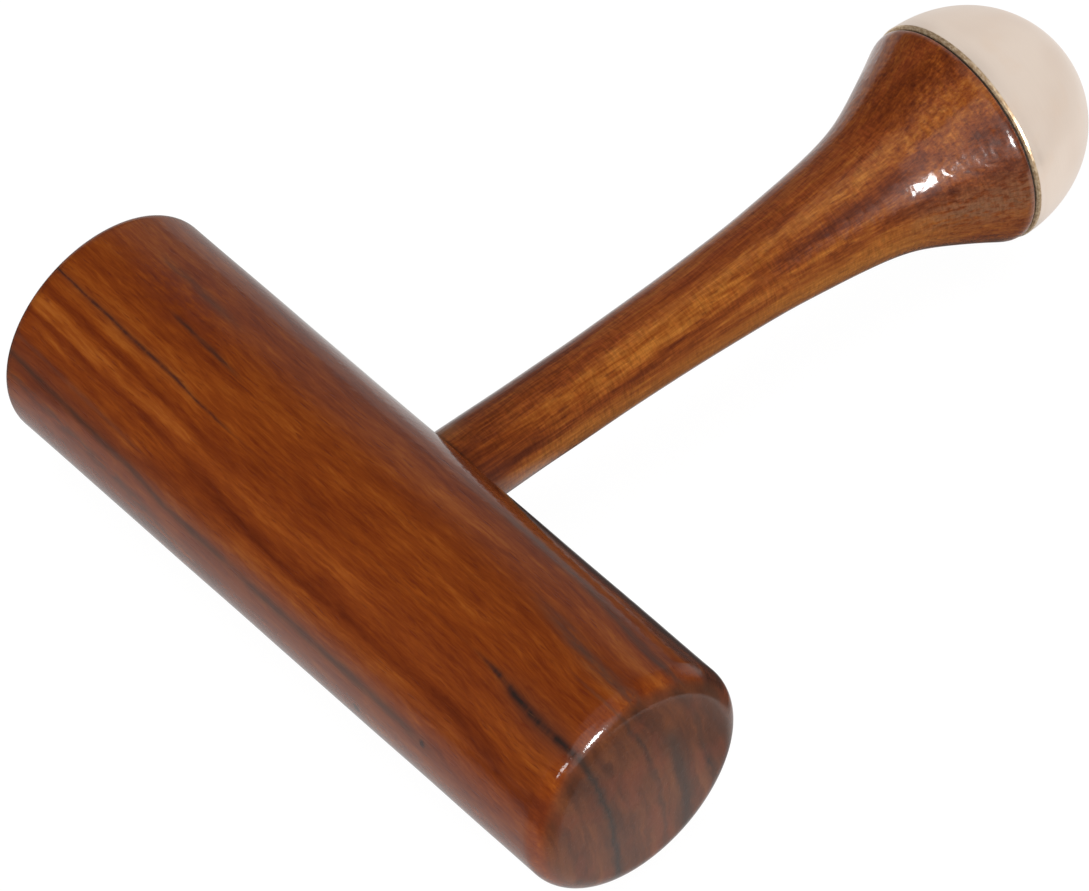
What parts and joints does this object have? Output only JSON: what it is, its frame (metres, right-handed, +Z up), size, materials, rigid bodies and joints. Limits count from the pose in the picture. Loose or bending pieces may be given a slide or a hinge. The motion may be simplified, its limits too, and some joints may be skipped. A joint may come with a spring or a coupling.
{
  "type": "wooden mallet",
  "caption": "T-shaped turned wooden mallet: a round crossbar head with flat faces on a slender flared handle that ends in a polished bronze dome.",
  "frame": {"origin": "middle of the underside of the bounding box, with the mallet lying on its side", "axes": "+X along the head towards its longer end, +Y along the handle from the head to the dome, +Z up"},
  "size_m": [0.1434, 0.184, 0.045],
  "materials": {
    "head_wood": "gloss lacquer over red-brown hardwood with dark streaks",
    "handle_wood": "gloss lacquer over golden-brown hardwood",
    "wedge_wood": "raw pale hardwood",
    "bronze": "polished pale bronze",
    "bedding_compound": "matte black set compound",
    "stud_steel": "zinc-plated steel"
  },
  "bodies": {
    "root": {"mallet_head": "head_wood", "handle": "handle_wood", "fox_wedge": "wedge_wood", "dome_cap": "bronze", "bedding_ring": "bedding_compound", "dome_stud": "stud_steel"}
  },
  "joints": []
}
